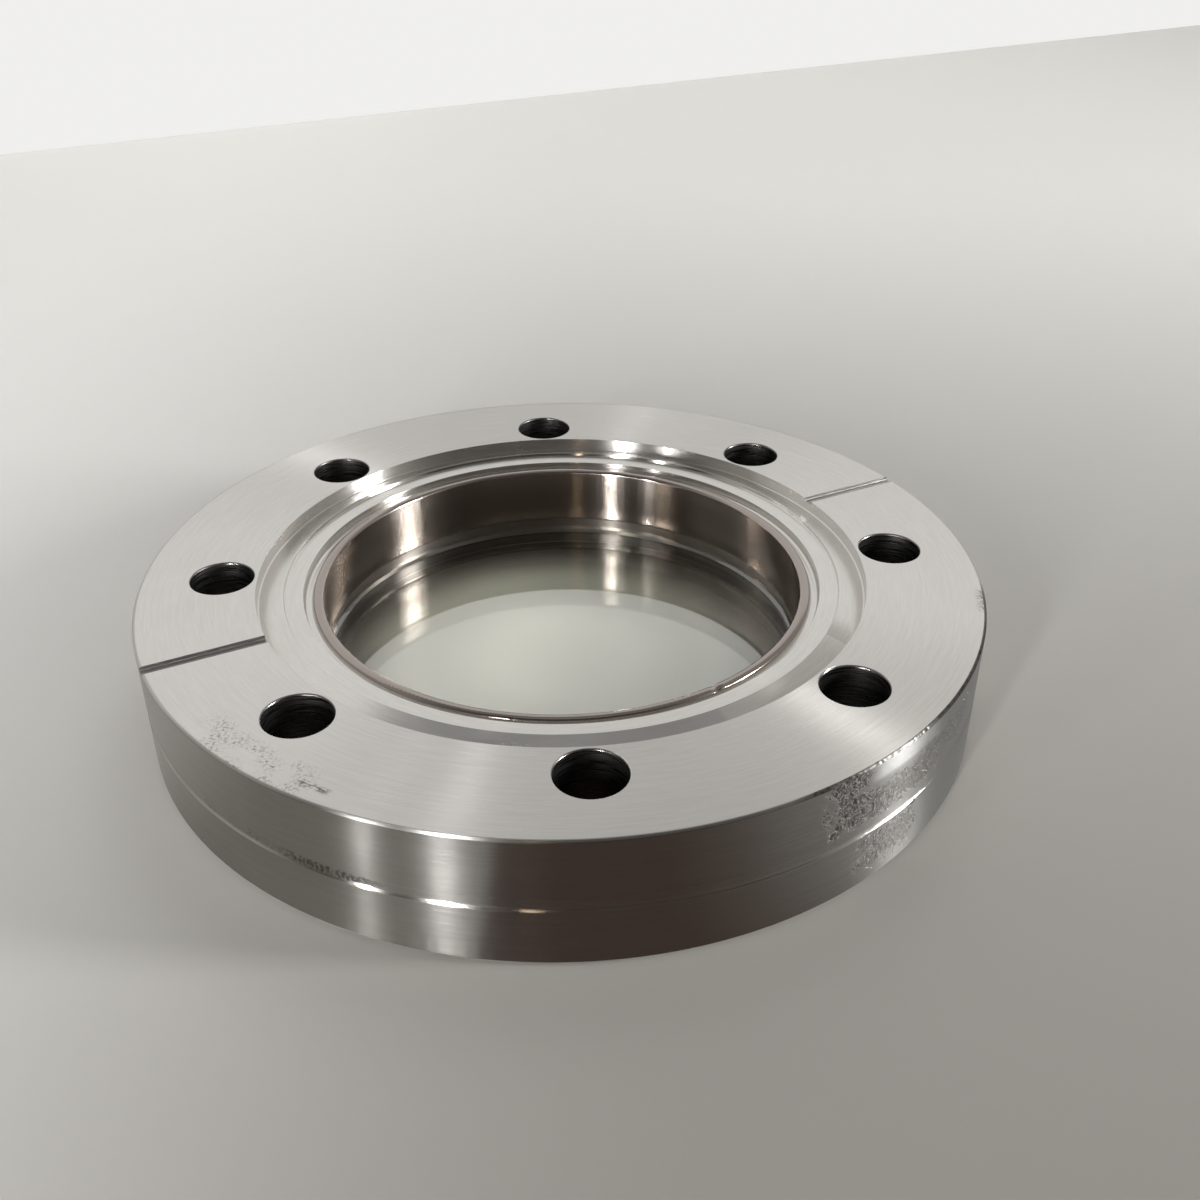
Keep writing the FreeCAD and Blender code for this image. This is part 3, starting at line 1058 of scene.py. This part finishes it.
def pale_floor():
    """Pale, with painted shade towards the front and painted light towards the back and the
    left, and a painted pool of light and shadow under the bore. Metal also shows the room's
    dark side in it, towards the front.
    """
    material = bpy.data.materials.new("pale_floor")
    graph = Graph(material)
    spot = Spot(graph, millimetres(graph))
    left = spot.toward(TO_LEFT)
    # Painted shade towards the front, and painted light towards the back and the left
    pale = graph.mix(graph.band(spot.toward(TO_BACK), -160.0, 300.0), FLOOR_NEAR_SHADED, FLOOR_FAR_LIT)
    pale = graph.mix(graph.band(left, -20.0, 160.0), pale, FLOOR_LEFT_LIT)
    # Under the bore the floor is painted: a pool of light in the middle, darkening to a painted
    # shadow at the bore's edge and across its right side
    under = graph.band(spot.radius, 33.5, 34.5, 1.0, 0.0)
    shade_under_glass = graph.mix(graph.band(spot.radius, 8.0, 20.0), UNDER_GLASS_LIGHT_POOL, UNDER_GLASS_HALF_SHADE)
    shade_under_glass = graph.mix(graph.band(spot.radius, 21.0, 33.5), shade_under_glass, UNDER_GLASS_SHADOW)
    shade_under_glass = graph.mix(graph.band(left, 10.0, -24.0, 0.0, 0.3), shade_under_glass, UNDER_GLASS_SHADOW)
    pale = graph.mix(under, pale, shade_under_glass)
    plain = graph.node(
        "ShaderNodeBsdfPrincipled",
        {"Base Color": pale, "Roughness": 0.9, "Specular IOR Level": 0.1},
    )
    mirrored = graph.mix(spot.past(165, 35), FLOOR_MIRRORED, FLOOR_MIRRORED_LEFT)
    mirrored = graph.mix(spot.past(262, 40), mirrored, FLOOR_MIRRORED_RIGHT)
    mirrored = graph.mix(spot.between(232, 3, 256, 38), mirrored, FLOOR_MIRRORED_FRONT)
    mirrored = graph.mix(under, mirrored, FLOOR_MIRRORED_UNDER)
    shown = graph.node("ShaderNodeEmission", {"Color": mirrored})
    graph.show(graph.node("ShaderNodeMixShader", {0: seen_by_metal(graph), 1: plain, 2: shown}))
    return material


def pale_wall():
    """Plain pale backdrop, which camera, metal and glass see as it is written."""
    material = bpy.data.materials.new("pale_wall")
    graph = Graph(material)
    plain = graph.node("ShaderNodeBsdfDiffuse", {"Color": WALL})
    shown = graph.node("ShaderNodeEmission", {"Color": WALL})
    seen = 0.0
    for ray in ("Is Camera Ray", "Is Glossy Ray", "Is Transmission Ray"):
        path = graph.node("ShaderNodeLightPath", output=ray)
        seen = graph.maths("ADD", seen, path, clamp=True)
    graph.show(graph.node("ShaderNodeMixShader", {0: seen, 1: plain, 2: shown}))
    return material


def make_world():
    """An even pale studio. Metal sees its dark front, its pale sides and its ceiling."""
    world = bpy.data.worlds.new("studio")
    bpy.context.scene.world = world
    graph = Graph(world)
    spot = Spot(graph, graph.node("ShaderNodeTexCoord", output="Generated"))
    ceiling = spot.climbing(50, 62)
    front = graph.times(spot.between(165, 20, 300, 20), spot.climbing(18, 45, 1.0, 0.65))
    high_front = graph.times(ceiling, graph.band(spot.toward(TO_FRONT), 0.02, 0.12))
    mirrored = graph.mix(front, ROOM_SIDES, ROOM_FRONT)
    mirrored = graph.mix(ceiling, mirrored, ROOM_CEILING)
    mirrored = graph.mix(spot.climbing(78, 84), mirrored, ROOM_OVERHEAD)
    mirrored = graph.mix(high_front, mirrored, ROOM_HIGH_FRONT)
    colour = graph.mix(seen_by_metal(graph), SKY, mirrored)
    background = graph.node("ShaderNodeBackground", {"Color": colour, "Strength": 1.0})
    graph.show(background, "ShaderNodeOutputWorld")


def stage_quad(name, corners, material):
    """A flat piece of the stage through four corners, in millimetres."""
    mesh = bpy.data.meshes.new(name)
    mesh.from_pydata([Vector(corner) * MM for corner in corners], [], [(0, 1, 2, 3)])
    mesh.materials.append(material)
    quad = bpy.data.objects.new(name, mesh)
    bpy.context.scene.collection.objects.link(quad)
    return quad


def make_stage():
    """The floor, just under the back face, and an upright backdrop."""
    far = FLOOR_REACH
    floor_corners = [(-far, -far, 0), (far, -far, 0), (far, far, 0), (-far, far, 0)]
    floor = stage_quad("floor", floor_corners, pale_floor())
    floor.location.z = -FLOOR_DROP * MM
    left, right = (Vector(mark) for mark in BACKDROP_MARKS)
    along = (right - left).normalized()
    left -= along * BACKDROP_PAST[0]
    right += along * BACKDROP_PAST[1]
    up = Vector((0, 0, BACKDROP_HEIGHT))
    stage_quad("backdrop", [left, right, right + up, left + up], pale_wall())


# Camera and lamps


def make_camera():
    """The camera, where it stood for the photograph."""
    data = bpy.data.cameras.new("camera")
    data.lens = CAMERA_LENS
    data.sensor_width = SENSOR
    data.clip_start, data.clip_end = CLIP_METRES
    camera = bpy.data.objects.new("camera", data)
    camera.location = Vector(CAMERA_PLACE) * MM
    camera.rotation_euler = (math.radians(90 + CAMERA_PITCH), 0, math.radians(CAMERA_TURN))
    bpy.context.scene.collection.objects.link(camera)
    bpy.context.scene.camera = camera


def lamp(name, bearing, elevation, distance, width, height, power, colour=(1, 1, 1)):
    """A panel of light that faces the middle of the object's foot. Power is in watts."""
    light = bpy.data.lights.new(name, "AREA")
    light.shape = "RECTANGLE"
    light.size = width * MM
    light.size_y = height * MM
    light.energy = power
    light.color = colour
    turn, rise = math.radians(bearing), math.radians(elevation)
    flat = distance * math.cos(rise)
    place = Vector((flat * math.cos(turn), flat * math.sin(turn), distance * math.sin(rise))) * MM
    holder = bpy.data.objects.new(name, light)
    holder.location = place
    holder.rotation_euler = (-place).to_track_quat("-Z", "Y").to_euler()
    holder.visible_camera = False
    bpy.context.scene.collection.objects.link(holder)
    return holder


def make_lamps():
    """Four panels that the metal mirrors, and a soft one from the back, which it doesn't."""
    lamp("left_panel", 217.8, 14.5, 500, 28, 240, 1.95)
    lamp("far_left_panel", 199.6, 7, 600, 12, 160, 1.1)
    lamp("right_panel", 327.3, 14.5, 900, 120, 430, 9.4)
    lamp("warm_lamp", 236, 16, 900, 16, 300, 0.1, (1.0, 0.8, 0.55))
    back = lamp("back_panel", 50, 60, 700, 300, 300, 0.9)
    back.visible_glossy = False


bpy.context.scene.view_settings.view_transform = "Standard"
make_stage()
make_camera()
make_world()
make_lamps()
make_flange()
make_bead()
make_sleeve()
make_window()
